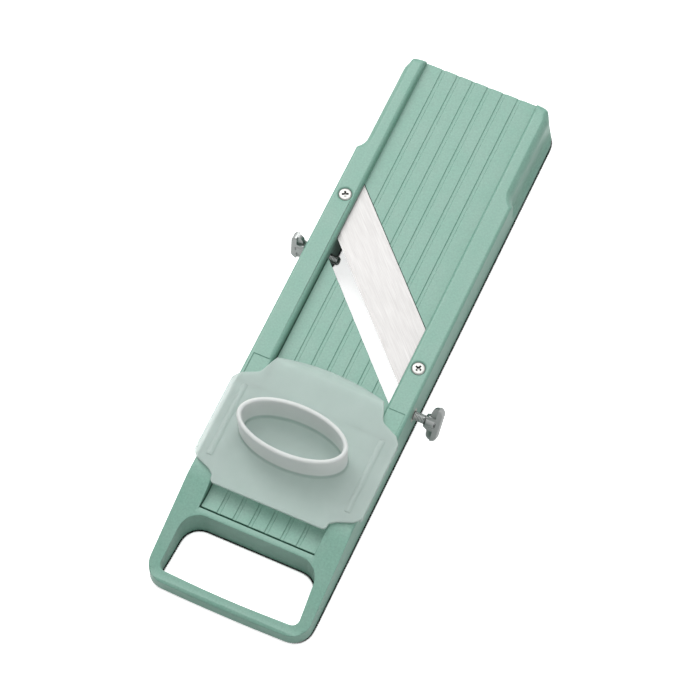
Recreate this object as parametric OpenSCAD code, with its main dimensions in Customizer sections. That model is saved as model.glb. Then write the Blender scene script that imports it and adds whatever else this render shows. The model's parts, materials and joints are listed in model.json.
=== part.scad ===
// Hand mandoline slicer: a long moulded body with a fixed rear table and a slanted blade,
// a hinged feed plate set by a thumb screw below it, two side screws that clamp a comb,
// and a finger guard that slides on the body's rails.
// +Z is up, +Y runs along the body away from the handle, X runs across it, and the origin is
// midway between the comb slots, at the height of the body's underside.

/* [Body] */
// Overall length of the body
body_len = 334; // [300:1:380]
// Distance from the comb slots' middle to the far end of the body
far_len = 161; // [150:1:190]
// Width of the body over its two rails
body_w = 92; // [84:1:110]
// Height of the rails
body_h = 26; // [25:0.5:32]
// Width of the flat top of each rail
rail_w = 13; // [12:0.5:15]
// Thickness of the moulded walls
wall = 3; // [2.5:0.1:3.4]
// Number of ribs inside each rail
rail_ribs = 6; // [3:1:8]
// Radius of the body's four outer corners, seen from above
corner_r = 11; // [6:0.5:14]
// Rounding along the outer top edges of the rails
edge_r = 1.8; // [0.8:0.1:2.4]
// Rounding along the inner top edges of the rails
mouth_r = 2.4; // [0.8:0.1:2.8]
// Rounding of the rails' tops at the far end
far_r = 4; // [2:0.5:4]
// Depth of the shallow bed in the rails where the guard is parked
park_depth = 0.5; // [0.3:0.1:0.8]
// Width of the rim left outside that bed
park_rim = 2.2; // [1.5:0.1:3]

/* [Handle] */
// Length of the hand opening
hand_len = 34.5; // [24:1:40]
// Thickness of the bar across the end of the handle, seen from above
bar_w = 6; // [5:0.5:9]
// How far the middle of that bar bows outwards
bar_bow = 1.3; // [0.2:0.1:2.5]
// Height of the top of that bar
bar_h = 12; // [10:0.5:16]
// Width of each side arm at the handle's end
arm_w = 6.3; // [5:0.1:9]
// How much wider each arm is at the other end of the hand opening
arm_taper = 1.8; // [0:0.1:3]
// Length over which the rails slope down to the bar
slope_len = 56; // [45:1:70]
// Radius where the rails' tops turn down into that slope
slope_top_r = 60; // [30:1:90]
// Radius where the slope runs out into the bar
slope_foot_r = 24; // [12:1:30]
// Radius of the hand opening's corners beside the bar
hand_near_r = 4; // [3:0.5:8]
// Radius of the hand opening's corners beside the cross wall
hand_far_r = 11; // [6:0.5:14]
// Thickness of the cross wall between the feed plate and the hand opening
cross_wall = 3.4; // [2.5:0.1:4]

/* [Finger scoops] */
// Distance from the far end of the body to the round end of a scoop
scoop_len = 56.5; // [40:0.5:70]
// Depth of a scoop into the rail's outer side
scoop_in = 2.8; // [2:0.1:3.4]
// Rounding of a scoop's upper part
scoop_round = 6; // [5.6:0.1:7]
// Height at which a scoop starts to flare out towards its foot
scoop_flare_z = 9; // [8:0.5:12]
// Radius of that flare
scoop_flare_r = 6.5; // [5:0.1:7.5]
// Radius of a scoop's round end, seen from above
scoop_end_r = 8.8; // [8:0.2:14]

/* [Table] */
// Depth of the table below the top of the rails
table_drop = 4.3; // [3:0.1:6]
// Thickness of the table
table_t = 3; // [2.6:0.1:4]
// Number of grooves in the table and in the feed plate
groove_count = 6; // [4:1:6]
// Distance between grooves
groove_pitch = 9.05; // [7:0.05:10]
// Width of a groove
groove_w = 1.9; // [1:0.1:3]
// Depth of a groove
groove_depth = 0.5; // [0.2:0.1:0.8]
// Distance of the outer long ribs below the table from its middle
rib_x = 18; // [12:1:24]
// Height of the stiffening ribs below the table
rib_h = 5; // [3:0.5:6]
// Thickness of those ribs
rib_t = 2; // [1.5:0.1:2.4]
// Number of cross ribs below the table
cross_ribs = 4; // [2:1:6]
// Height of the lower edge of the wall below the table's far end
end_wall_low = 6; // [2:0.5:10]

/* [Blade] */
// Width of the blade, from its back to its cutting edge
blade_w = 25; // [20:0.5:27]
// Thickness of the blade
blade_t = 1.2; // [0.8:0.1:1.4]
// Angle of the blade across the body
blade_angle = 45; // [40:1:48]
// Distance along the body from the comb slots' middle to the blade's middle
blade_y = 27; // [25:0.5:30]
// How far the blade stands above the table
blade_proud = 0.2; // [0:0.05:0.3]
// Width of the ground bevel on top of the cutting edge
top_bevel = 2.6; // [1.5:0.1:4]
// Width of the ground bevel below the cutting edge
low_bevel = 4.2; // [2:0.1:5]
// Width of the throat between the cutting edge and the feed plate
throat = 8.4; // [7:0.1:12]
// Diameter of the blade screws
blade_screw_d = 4; // [3.5:0.1:4.4]
// Diameter of the blade screws' countersunk heads
blade_head_d = 8; // [7:0.1:8.6]
// Turn of the cross recess in the left blade screw
left_cross_turn = 26; // [0:1:90]
// Turn of the cross recess in the right blade screw
right_cross_turn = 71; // [0:1:90]
// Size of the blade nuts across their flats
blade_nut_af = 7; // [6.5:0.1:7.4]
// Thickness of the blade nuts
blade_nut_t = 3.2; // [2.4:0.1:3.6]

/* [Feed plate] */
// Thickness of the feed plate
plate_t = 2.4; // [2:0.1:3]
// Thickness of the slice at the setting shown
slice_t = 1.2; // [0.9:0.1:1.6]
// Gap at each side of the feed plate
plate_gap = 0.4; // [0.3:0.05:0.7]
// Distance of the hinge pin from the handle end of the body
hinge_from_end = 49; // [46:0.5:56]
// Diameter of the hinge pin
pin_d = 3; // [2.5:0.1:3.4]
// Depth of the hollow across the handle end of the feed plate
dip_depth = 1.1; // [0.5:0.1:1.4]
// Width of that hollow, along the body
dip_len = 16; // [10:1:20]
// Depth of the skirts along the feed plate's edges
skirt_h = 2.5; // [1.5:0.1:2.8]

/* [Adjuster] */
// Distance of the thumb screw behind the comb slots' middle, towards the handle
adjuster_back = 50; // [48:0.5:56]
// Diameter of the thumb screw
adjuster_d = 6; // [5:0.1:6.4]
// Diameter of the thumb screw's knob
knob_d = 26; // [22:0.5:34]
// Height of that knob
knob_h = 6.8; // [6:0.1:6.8]
// Number of grip flutes round the knob
knob_flutes = 14; // [8:1:20]
// Width of the steel strap that carries the thumb screw
strap_w = 14; // [12:0.5:18]
// Thickness of that strap
strap_t = 1.5; // [1:0.1:1.8]
// Height of the strap's upper face
strap_top = 11.7; // [11.5:0.1:12]
// Diameter of the screws that hold the strap
strap_screw_d = 3; // [2.5:0.1:3.2]

/* [Side screws] */
// Diameter of the side screws
side_d = 5; // [4:0.1:5.4]
// Height of the side screws
side_z = 14; // [13:0.5:15]
// Length of a wing head, from tip to tip
wing_len = 19; // [14:0.5:22]
// Thickness of a wing head along the screw
wing_t = 6.5; // [5:0.5:8]
// Width of a wing head across its flat sides
wing_w = 5; // [4:0.5:6.4]
// How far the left wing head's face stands out from the body
left_reach = 9.4; // [9.4:0.1:15]
// How far the right wing head's face stands out from the body
right_reach = 15.5; // [14:0.5:18]
// Turn of the left wing head from level
left_wing_turn = -5; // [-90:1:90]
// Turn of the right wing head from level
right_wing_turn = 51; // [-90:1:90]
// Depth of the comb slots in the rails' inner faces
comb_slot_in = 2.2; // [1.5:0.1:2.4]
// Width of those slots
comb_slot_w = 2; // [1.4:0.1:2.4]

/* [Finger guard] */
// Length of the guard along the body
guard_len = 83; // [70:0.5:100]
// Distance of the guard's front edge from the comb slots' middle, towards the handle
guard_front = 33.5; // [32:0.5:46]
// Thickness of the guard
guard_t = 2; // [1.6:0.1:2.6]
// Width of the guard's middle tongue
tongue_w = 64; // [56:0.5:65]
// Distance from the guard's front edge back to its side wings
wing_back = 19.5; // [16:0.5:24]
// Distance of the side wings from the guard's other edge
wing_rest = 11.5; // [8:0.5:14]
// How far the guard's front edge bows out in the middle
front_bow = 4.5; // [2:0.5:6]
// Length of the guard's front lip, which slopes down
front_lip = 8; // [5:0.5:10]
// Drop of that lip at the front edge
front_drop = 1; // [0.5:0.1:1.5]
// How far the guard's lips hang down outside the rails
lip_h = 3; // [2:0.5:5]
// Thickness of the lips
lip_t = 1.6; // [1.2:0.1:2]
// Length of the oval grip ring, across the body
ring_a = 61; // [50:0.5:62]
// Width of that ring, along the body
ring_b = 29.6; // [24:0.2:34]
// Distance of that ring to the left of the body's middle
ring_shift = 1.8; // [0:0.1:3]
// Height of that ring above the guard
ring_h = 20; // [14:0.5:26]
// Thickness of the ring's wall
ring_t = 2.6; // [2:0.1:3.2]
// How far the ring flares out at its rim
ring_flare = 0.5; // [0:0.1:1]
// Length of the food spikes below the guard
spike_h = 3.5; // [2.5:0.1:3.6]

/* [Clearances] */
// Gap between the guard and the rails
guard_gap = 0.3; // [0.2:0.05:0.4]
// Gap between the feed plate and the cross wall
hinge_gap = 1; // [0.6:0.1:1.2]
// Running clearance round a pin or screw, on the radius
running = 0.05; // [0.02:0.01:0.1]
// Clearance of a pin or bush pressed into its seat, on the radius
press_gap = 0.02; // [0:0.01:0.03]
// Clearance round a screw in a plain hole, on the radius
hole_gap = 0.2; // [0.1:0.05:0.3]
// Clearance round the blade in its slots
blade_gap = 0.15; // [0.1:0.05:0.3]
// Clearance round a captive nut or a screw head
seat_gap = 0.25; // [0.15:0.05:0.3]
// Clearance round the thumb screw's tip in its socket
socket_gap = 0.4; // [0.3:0.05:0.5]

/* [Hidden] */
$fn = 64;
over = 1; // how far a cut runs past a face
half_w = body_w / 2;
chan = half_w - rail_w; // half the width of the channel between the rails
far_y = far_len;
near_y = far_len - body_len;
inner_x = chan + wall; // inner face of a rail's hollow
outer_x = half_w - wall; // outer face of a rail's hollow
rail_mid = (inner_x + outer_x) / 2;
rail_roof = body_h - wall; // underside of a rail's top
scoop_y = far_y - scoop_len; // centre of a scoop's round end
scoop_x = half_w - scoop_in; // side face of a scoop
foot_z = 4; // height of the foot of the ribs inside the rails

table_z = body_h - table_drop;
table_low = table_z - table_t;
blade_z = table_z + blade_proud;
blade_low = blade_z - blade_t;
edge_z = blade_z - 0.35 * blade_t; // height of the cutting edge
cut_y = -blade_w / 2; // cutting edge, in the blade's own frame
throat_y = cut_y - throat; // feed plate's edge, in the blade's own frame
blade_end = outer_x - 0.7;
screw_x = rail_mid - 0.3;
blade_slope = tan(blade_angle);
ledge_y = cut_y + low_bevel + 0.8; // front of the ledge below the blade
boss_low = 11;
boss_wall = 2.4; // wall round a captive nut or bush
nut_low = 13.5;
blade_screw_len = body_h - nut_low + 0.6;
blade_head_h = (blade_head_d - blade_screw_d) / 2;

plate_z = edge_z - slice_t;
plate_low = plate_z - plate_t;
plate_x = chan - plate_gap;
hinge_y = near_y + hinge_from_end;
barrel_r = pin_d / 2 + 1.8;
hinge_z = plate_z - barrel_r - 0.8;
pin_x = inner_x + 3.5; // half the length of the hinge pin
arm_roof = hinge_z - pin_d / 2 - wall; // underside of the rails beside the hinge
hand_near = near_y + bar_w;
hand_far = hand_near + hand_len;
cross_y = hand_far + cross_wall; // feed plate side of the cross wall
cross_top = plate_z + 0.7;
plate_near = cross_y + hinge_gap; // handle end of the feed plate
slope_y = hand_near + slope_len;

adjuster_y = -adjuster_back;
strap_low = strap_top - strap_t;
nut_flange_r = adjuster_d / 2 + 2.5;
nut_flange_t = 2.5;
nut_sleeve_r = adjuster_d / 2 + 1;
knob_low = 2.4;
knob_web_low = knob_low + 1.6;
knob_web_top = knob_low + 3.8;
screw_head_r = adjuster_d / 2 + 1.6;
tip_z = plate_low - 0.3;
clip_t = 0.7;
clip_z = plate_low - 2.25;
clip_r = adjuster_d / 2 + 1.8;
groove_r = adjuster_d / 2 - 0.8;
socket_r = clip_r + socket_gap + 2.6;
socket_low = clip_z - socket_gap - 0.9;
strap_end = outer_x - 0.5;
strap_boss_r = 4.2;
strap_screw_hold = 8; // length of a strap screw inside its boss

side_nut_r = side_d / 2 + 1.5;
side_nut_len = 5;
left_out = half_w + left_reach; // outer face of the left wing head
right_out = half_w + right_reach;
shank_len = right_out - chan - 0.6; // from a wing head's face to its screw's tip
shank_hold = 3.2; // end of the shank below that face
hub_r = side_d / 2 + 0.7;
hub_len = 2;
comb_top = side_z + side_d / 2 + 1.5; // closed upper end of the comb slots
comb_y = -blade_y * cos(blade_angle); // middle of the comb slots, in the blade's own frame
side_y = chan * blade_slope; // distance of each side screw from the comb slots' middle

guard_low = body_h + guard_gap;
guard_z = guard_low + guard_t;
guard_near = -(guard_front + guard_len);
guard_x = half_w + guard_gap + 0.1 + lip_t; // half the width over the lips
wing_near = -guard_front - wing_back; // where the guard's side wings start
wing_far = guard_near + wing_rest; // where they end
ring_y = (wing_near + wing_far) / 2 - 1.3; // middle of the grip ring

mint = [0.61, 0.75, 0.70];
steel = [0.86, 0.86, 0.86];
zinc = [0.62, 0.63, 0.62];
brass = [0.80, 0.68, 0.40];
milky = [0.80, 0.84, 0.83];

// Corner b of an outline, rounded to radius r between its neighbours a and c
function fillet(a, b, c, r, n = 6) =
    let (u = (a - b) / norm(a - b),
        v = (c - b) / norm(c - b),
        half = acos(u * v) / 2,
        mid = b + (u + v) / norm(u + v) * r / sin(half),
        p = b + u * r / tan(half) - mid,
        q = b + v * r / tan(half) - mid,
        a0 = atan2(p[1], p[0]),
        turn = atan2(p[0] * q[1] - p[1] * q[0], p * q))
    [for (i = [0:n]) mid + r * [cos(a0 + turn * i / n), sin(a0 + turn * i / n)]];

// Outline with every corner rounded; each point is [x, y, radius]
function rounded(pts, n = 6) =
    let (k = len(pts))
    [for (i = [0:k - 1])
        let (a = pts[(i + k - 1) % k], b = pts[i], c = pts[(i + 1) % k])
        each fillet([a[0], a[1]], [b[0], b[1]], [c[0], c[1]], b[2], n)];

// Block from one corner to the other
module box(low, high) {
    translate(low)
        cube(high - low);
}

// Both sides of the body
module both_sides() {
    children();
    mirror([1, 0, 0])
        children();
}

// Frame along the blade: X along it, Y across it away from the handle
module along_blade() {
    translate([0, blade_y, 0])
        rotate([0, 0, -blade_angle])
            children();
}

// Place of a blade screw; side is -1 for the left one and 1 for the right one
module at_blade_screw(side) {
    translate([side * screw_x, blade_y - side * screw_x * blade_slope, 0])
        children();
}

// Side screw's axis along +X from the body's middle; side is -1 or 1
module at_side_screw(side) {
    translate([0, -side * side_y, side_z])
        rotate([0, 0, side < 0 ? 180 : 0])
            children();
}

// Cylinder along +X from x0 to x1
module rod_x(x0, x1, r) {
    translate([x0, 0, 0])
        rotate([0, 90, 0])
            cylinder(h = x1 - x0, r = r);
}

// Side view of the whole body, Y across the sheet and Z up it
module body_side() {
    toe = 2.5; // lift of the bar's underside at the handle's end
    toe_y = near_y + 3 * bar_w;
    bar_top_r = 3;
    toe_r = 1.2;
    polygon(concat(
        [[far_y, 0]],
        rounded_run([[far_y, 0], [far_y, body_h], [slope_y, body_h], [hand_near - 1, bar_h],
            [near_y, bar_h], [near_y, toe], [toe_y, 0]],
            [far_r, slope_top_r, slope_foot_r, bar_top_r, toe_r]),
        [[toe_y, 0]]));
}

// Inner corners of an open run of points, each rounded to its radius
function rounded_run(pts, radii) =
    [for (i = [1:len(pts) - 2]) each fillet(pts[i - 1], pts[i], pts[i + 1], radii[i - 1], 10)];

// Plan of the whole body: round corners, handle end slightly bowed
module body_plan() {
    bow_r = half_w * half_w / (2 * bar_bow);
    polygon(rounded([
        [half_w, near_y + bar_bow, corner_r],
        [half_w, far_y, corner_r],
        [-half_w, far_y, corner_r],
        [-half_w, near_y + bar_bow, corner_r],
        [0, near_y, bow_r]], 12));
}

// Cross-section of the body's outside, with round top edges
module body_section() {
    translate([-half_w, 0])
        square([body_w, body_h - edge_r]);
    translate([-half_w + edge_r, 0])
        square([body_w - 2 * edge_r, body_h]);
    for (x = [-1, 1])
        translate([x * (half_w - edge_r), body_h - edge_r])
            circle(edge_r);
}

// Solid outside of the body
module body_block() {
    intersection() {
        linear_extrude(body_h)
            body_plan();
        translate([-half_w - over, 0, 0])
            rotate([90, 0, 90])
                linear_extrude(body_w + 2 * over)
                    body_side();
        translate([0, far_y + over, 0])
            rotate([90, 0, 0])
                linear_extrude(body_len + 2 * over)
                    body_section();
    }
}

// Cross-section of the channel above the table, with its mouth rounded open
module channel_section(low) {
    translate([-chan, low])
        square([2 * chan, body_h - low + over]);
    difference() {
        translate([-chan - mouth_r, body_h - mouth_r])
            square([2 * (chan + mouth_r), mouth_r + over]);
        for (x = [-1, 1])
            translate([x * (chan + mouth_r), body_h - mouth_r])
                circle(mouth_r);
    }
}

// Everything in front of a line across the blade's frame, from height z0 to z1
module before_line(y, z0, z1) {
    along_blade()
        box([-body_w * 1.5, -body_len, z0], [body_w * 1.5, y, z1]);
}

// Open space between the rails, from the cross wall to the far end
module channel() {
    difference() {
        translate([0, far_y + over, 0])
            rotate([90, 0, 0])
                linear_extrude(far_y - cross_y + over)
                    channel_section(-over);
        table_block();
    }
}

// Table with its ledge below the blade, its ribs and its end wall
module table_block() {
    difference() {
        union() {
            box([-chan - over, -chan, table_low], [chan + over, far_y + 2 * over, table_z]);
            for (x = [-1, 0, 1])
                translate([x * rib_x, 0, 0])
                    box([-rib_t / 2, -chan, table_low - rib_h],
                        [rib_t / 2, far_y, table_low + over]);
            for (i = [1:cross_ribs])
                translate([0, rib_start + i * (far_y - rib_start) / (cross_ribs + 1), 0])
                    box([-chan - over, -rib_t / 2, table_low - rib_h],
                        [chan + over, rib_t / 2, table_low + over]);
            along_blade()
                box([-body_w, ledge_y, table_low - rib_h],
                    [body_w, ledge_y + rib_t, table_low + over]);
            box([-chan - over, far_y - wall, end_wall_low],
                [chan + over, far_y + 2 * over, table_z]);
        }
        before_line(ledge_y, -over, body_h);
        before_line(blade_w / 2 + blade_gap, blade_low, body_h);
        grooves(table_z, -chan, far_y + 3 * over);
    }
}

rib_start = blade_y + chan;

// Grooves cut into a face at height z, from y0 to y1
module grooves(z, y0, y1) {
    for (i = [0:groove_count - 1])
        translate([(i - (groove_count - 1) / 2) * groove_pitch, 0, 0])
            box([-groove_w / 2, y0, z - groove_depth], [groove_w / 2, y1, z + over]);
}

// Hollows below one rail, between its walls and its end walls
module rail_hollow() {
    stop = scoop_y - scoop_end_r;
    pitch = (stop - slope_y) / (rail_ribs + 1);
    difference() {
        box([inner_x, slope_y, -over], [outer_x, stop, rail_roof]);
        for (i = [1:rail_ribs])
            translate([0, slope_y + i * pitch, 0])
                box([inner_x - over, -rib_t / 2, foot_z], [outer_x + over, rib_t / 2, body_h]);
    }
    box([inner_x, cross_y + wall, -over], [outer_x, slope_y + over, arm_roof]);
    box([inner_x, stop + wall, -over], [scoop_x - wall, far_y - corner_r, rail_roof - rib_t]);
}

// Points of an arc about [cx, cy], from angle a0 to angle a1
function arc(cx, cy, r, a0, a1, n = 8) =
    [for (i = [0:n]) let (a = a0 + (a1 - a0) * i / n) [cx + r * cos(a), cy + r * sin(a)]];

// Cross-section of a scoop, measured outwards from the axis of its round end
module scoop_section() {
    drop = scoop_round - 0.5; // depth of the upper rounding's centre below the rail's top
    flare_x = scoop_end_r - scoop_flare_r;
    polygon(concat(
        [[0, scoop_flare_z - scoop_flare_r]],
        arc(flare_x, scoop_flare_z, scoop_flare_r, -90, 0),
        arc(scoop_end_r + scoop_round, body_h - drop, scoop_round, 180,
            180 - asin(drop / scoop_round)),
        [[scoop_end_r + scoop_round, body_h + over], [0, body_h + over]]));
}

// Finger scoop in the outer side of the right rail, from its round end to the far end
module scoop() {
    translate([scoop_x + scoop_end_r, scoop_y, 0]) {
        rotate([90, 0, 180])
            linear_extrude(scoop_len + over)
                scoop_section();
        rotate_extrude()
            scoop_section();
    }
}

// Hand opening through the handle
module hand_opening() {
    x = half_w - arm_w;
    bow_r = x * x / (2 * bar_bow);
    translate([0, 0, -over])
        linear_extrude(body_h + 2 * over)
            polygon(rounded([
                [x, hand_near + bar_bow, hand_near_r],
                [x - arm_taper, hand_far, hand_far_r],
                [-x + arm_taper, hand_far, hand_far_r],
                [-x, hand_near + bar_bow, hand_near_r],
                [0, hand_near, bow_r]]));
}

// Space between the rails above the cross wall
module cross_gap() {
    box([-chan, hand_far - over, cross_top], [chan, cross_y + over, body_h + over]);
}

// Bosses inside the body, before their bores are cut
module bosses() {
    for (s = [-1, 1]) {
        at_blade_screw(s)
            translate([0, 0, boss_low])
                cylinder(h = rail_roof - boss_low + over, r = blade_nut_af / 2 + boss_wall);
        at_side_screw(s)
            box([chan, -side_nut_r - boss_wall, -side_nut_r - boss_wall],
                [half_w - over, side_nut_r + boss_wall, rail_roof + over - side_z]);
        translate([s * rail_mid, adjuster_y, strap_top])
            cylinder(h = rail_roof - strap_top + over, r = strap_boss_r);
    }
}

// Slots in the rails' inner faces that hold a comb's ends before the blade
module comb_slots() {
    intersection() {
        along_blade()
            box([-body_w, comb_y - comb_slot_w / 2, -over],
                [body_w, comb_y + comb_slot_w / 2, comb_top]);
        box([-chan - comb_slot_in, near_y, -over], [chan + comb_slot_in, far_y, body_h]);
    }
}

// Shallow bed in each rail's top for the parked guard
module park_bed() {
    park_set = 4; // how far the bed stops short of the guard's wings
    both_sides()
        box([chan - over, wing_far + park_set, body_h - park_depth],
            [half_w - park_rim, -guard_front - 1.5 * park_set, body_h + over]);
}

// Bores, pockets and slots in the body
module body_cuts() {
    for (s = [-1, 1]) {
        at_blade_screw(s) {
            translate([0, 0, -over])
                cylinder(h = body_h + 2 * over, r = blade_screw_d / 2 + hole_gap);
            translate([0, 0, body_h - blade_head_h - seat_gap])
                cylinder(h = blade_head_h + seat_gap, r1 = blade_screw_d / 2 + hole_gap,
                    r2 = blade_head_d / 2 + 1.5 * seat_gap);
            translate([0, 0, -over])
                rotate([0, 0, 30])
                    cylinder(h = nut_low + blade_nut_t + over,
                        r = (blade_nut_af / 2 + seat_gap) / cos(30), $fn = 6);
        }
        at_side_screw(s) {
            rod_x(chan - over, half_w + over, side_d / 2 + running);
            rod_x(half_w - side_nut_len, half_w + over, side_nut_r + press_gap);
        }
        translate([s * rail_mid, adjuster_y, strap_top - over])
            cylinder(h = strap_screw_hold + 2 * over, r = strap_screw_d / 2 + running);
    }
    translate([0, hinge_y, hinge_z])
        rod_x(-pin_x - hole_gap, pin_x + hole_gap, pin_d / 2 + press_gap);
    intersection() {
        along_blade()
            box([-body_w * 1.5, cut_y - blade_gap, blade_low],
                [body_w * 1.5, blade_w / 2 + blade_gap, blade_z + blade_gap]);
        box([-blade_end - blade_gap, -body_len, 0], [blade_end + blade_gap, body_len, body_h]);
    }
    translate([0, adjuster_y, 0])
        box([-strap_end - seat_gap, -strap_w / 2 - seat_gap, -over],
            [strap_end + seat_gap, strap_w / 2 + seat_gap, strap_top]);
    comb_slots();
}

// Body moulding: rails, table, cross wall and handle in one piece
module frame() {
    color(mint)
        difference() {
            union() {
                difference() {
                    body_block();
                    channel();
                    hand_opening();
                    cross_gap();
                    both_sides() {
                        rail_hollow();
                        scoop();
                    }
                    park_bed();
                }
                bosses();
            }
            body_cuts();
        }
}

// Feed plate's outline: straight sides, slanted front along the throat
module plate_plan(inset = 0) {
    intersection() {
        translate([-plate_x + inset, plate_near + inset])
            square([2 * (plate_x - inset), body_len]);
        translate([0, blade_y])
            rotate(-blade_angle)
                translate([-body_len, -2 * body_len + throat_y - inset])
                    square([2 * body_len, 2 * body_len]);
    }
}

// Feed plate: hinged at the handle end, grooved on top, skirted below
module feed_plate() {
    color(mint)
        difference() {
            union() {
                translate([0, 0, plate_low])
                    linear_extrude(plate_t)
                        plate_plan();
                translate([0, 0, plate_low - skirt_h])
                    linear_extrude(skirt_h + plate_t / 2)
                        difference() {
                            plate_plan();
                            plate_plan(rib_t);
                        }
                translate([0, hinge_y, hinge_z])
                    rod_x(-plate_x, plate_x, barrel_r);
                translate([0, adjuster_y, socket_low])
                    cylinder(h = plate_low - socket_low + plate_t / 2, r = socket_r);
            }
            grooves(plate_z, plate_near - over, body_len);
            dip(0);
            intersection() {
                grooves(plate_z - dip_depth, plate_near - over, body_len);
                dip(groove_depth);
            }
            translate([0, hinge_y, hinge_z])
                rod_x(-body_w, body_w, pin_d / 2 + running);
            translate([0, adjuster_y, 0]) {
                slot(socket_low - over, plate_low, adjuster_d / 2 + socket_gap);
                slot(clip_z - socket_gap, clip_z + clip_t + socket_gap, clip_r + socket_gap);
            }
        }
}

// Round hollow across the handle end of the feed plate, sunk deeper by drop
module dip(drop) {
    r = (dip_len * dip_len / 4 + dip_depth * dip_depth) / (2 * dip_depth);
    translate([0, plate_near + dip_len / 2 + 1, plate_z - dip_depth - drop + r])
        rod_x(-body_w, body_w, r, $fn = 128);
}

// Slot for a round piece, open towards the hinge, from height z0 to z1
module slot(z0, z1, r) {
    translate([0, 0, z0])
        cylinder(h = z1 - z0, r = r);
    box([-r, -2 * socket_r, z0], [r, 0, z1]);
}

// Steel pin that the feed plate turns on
module hinge_pin() {
    color(steel)
        translate([0, hinge_y, hinge_z])
            rod_x(-pin_x, pin_x, pin_d / 2);
}

// Blade: a flat strip ground to an edge, set slantwise, its ends under the rails
module main_blade() {
    back_edge = 0.3; // chamfer along the back
    color(steel)
        difference() {
            intersection() {
                along_blade()
                    rotate([90, 0, 90])
                        translate([0, 0, -body_w])
                            linear_extrude(2 * body_w)
                                polygon([
                                    [cut_y, edge_z],
                                    [cut_y + top_bevel, blade_z],
                                    [blade_w / 2 - back_edge, blade_z],
                                    [blade_w / 2, blade_z - back_edge],
                                    [blade_w / 2, blade_low],
                                    [cut_y + low_bevel, blade_low]]);
                box([-blade_end, -body_len, 0], [blade_end, body_len, body_h]);
            }
            for (s = [-1, 1])
                at_blade_screw(s)
                    translate([0, 0, blade_low - over])
                        cylinder(h = blade_t + 2 * over, r = blade_screw_d / 2 + hole_gap);
        }
}

// Countersunk cross-head screw through a rail and an end of the blade
module blade_screw(side, turn) {
    color(steel)
        at_blade_screw(side)
            difference() {
                union() {
                    translate([0, 0, body_h - blade_screw_len])
                        cylinder(h = blade_screw_len, r = blade_screw_d / 2);
                    translate([0, 0, body_h - blade_head_h])
                        cylinder(h = blade_head_h, r1 = blade_screw_d / 2,
                            r2 = blade_head_d / 2);
                }
                for (a = [0, 90])
                    rotate([0, 0, turn + a])
                        translate([0, 0, body_h])
                            cube([0.6 * blade_head_d, 0.14 * blade_head_d, blade_head_h],
                                center = true);
            }
}

module blade_screw_left() {
    blade_screw(-1, left_cross_turn);
}

module blade_screw_right() {
    blade_screw(1, right_cross_turn);
}

// Hexagon nut held in the boss below a blade screw
module blade_nut(side) {
    color(steel)
        at_blade_screw(side)
            translate([0, 0, nut_low])
                difference() {
                    rotate([0, 0, 30])
                        cylinder(h = blade_nut_t, r = blade_nut_af / 2 / cos(30), $fn = 6);
                    translate([0, 0, -over])
                        cylinder(h = blade_nut_t + 2 * over, r = blade_screw_d / 2 + running);
                }
}

module blade_nut_left() {
    blade_nut(-1);
}

module blade_nut_right() {
    blade_nut(1);
}

// Shank of a side screw, from the comb's slot out into a wing head whose face is at out
module side_screw(side, out) {
    chamfer = 0.8;
    tip = out - shank_len;
    color(zinc)
        at_side_screw(side)
            union() {
                rod_x(tip + chamfer, out - shank_hold, side_d / 2);
                translate([tip, 0, 0])
                    rotate([0, 90, 0])
                        cylinder(h = chamfer, r1 = side_d / 2 - chamfer, r2 = side_d / 2);
            }
}

module side_screw_left() {
    side_screw(-1, left_out);
}

module side_screw_right() {
    side_screw(1, right_out);
}

// Outline of a wing head with its face at x = 0 and its hub on the other side
module wing_outline() {
    r = wing_t / 2;
    fill = 2.4;
    difference() {
        union() {
            translate([-wing_t, -wing_len / 2 + r])
                square([wing_t, wing_len - 2 * r]);
            for (s = [-1, 1])
                translate([-r, s * (wing_len / 2 - r)])
                    circle(r);
            translate([-wing_t - fill, -hub_r - fill])
                square([fill + over, 2 * (hub_r + fill)]);
        }
        for (s = [-1, 1])
            translate([-wing_t - fill, s * (hub_r + fill)])
                circle(fill);
    }
}

// Cast wing head of a side screw, bored for its shank, with its face at out
module side_head(side, out, turn) {
    color(zinc)
        at_side_screw(side)
            translate([out, 0, 0])
                rotate([turn, 0, 0])
                    difference() {
                        union() {
                            translate([0, 0, -wing_w / 2])
                                linear_extrude(wing_w)
                                    wing_outline();
                            rod_x(-wing_t - hub_len, -wing_t / 2, hub_r);
                        }
                        rod_x(-wing_t - hub_len - over, -shank_hold + hole_gap,
                            side_d / 2 + running);
                    }
}

module side_head_left() {
    side_head(-1, left_out, left_wing_turn);
}

module side_head_right() {
    side_head(1, right_out, right_wing_turn);
}

// Brass bush in the rail's outer wall that a side screw turns in
module side_nut(side) {
    color(brass)
        at_side_screw(side)
            difference() {
                rod_x(half_w - side_nut_len, half_w, side_nut_r);
                rod_x(half_w - side_nut_len - over, half_w + over, side_d / 2 + running);
            }
}

module side_nut_left() {
    side_nut(-1);
}

module side_nut_right() {
    side_nut(1);
}

// Steel strap across the body below the feed plate
module bridge_strap() {
    color(steel)
        translate([0, adjuster_y, strap_low])
            difference() {
                union() {
                    translate([-strap_end + strap_w / 2, -strap_w / 2, 0])
                        cube([2 * strap_end - strap_w, strap_w, strap_t]);
                    for (s = [-1, 1])
                        intersection() {
                            translate([s * (strap_end - strap_w / 2), 0, 0])
                                cylinder(h = strap_t, r = strap_w / 2);
                            translate([-strap_end, -strap_w / 2, 0])
                                cube([2 * strap_end, strap_w, strap_t]);
                        }
                }
                translate([0, 0, -over])
                    cylinder(h = strap_t + 2 * over, r = nut_sleeve_r + press_gap);
                for (s = [-1, 1])
                    translate([s * rail_mid, 0, -over])
                        cylinder(h = strap_t + 2 * over, r = strap_screw_d / 2 + hole_gap);
            }
}

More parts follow.
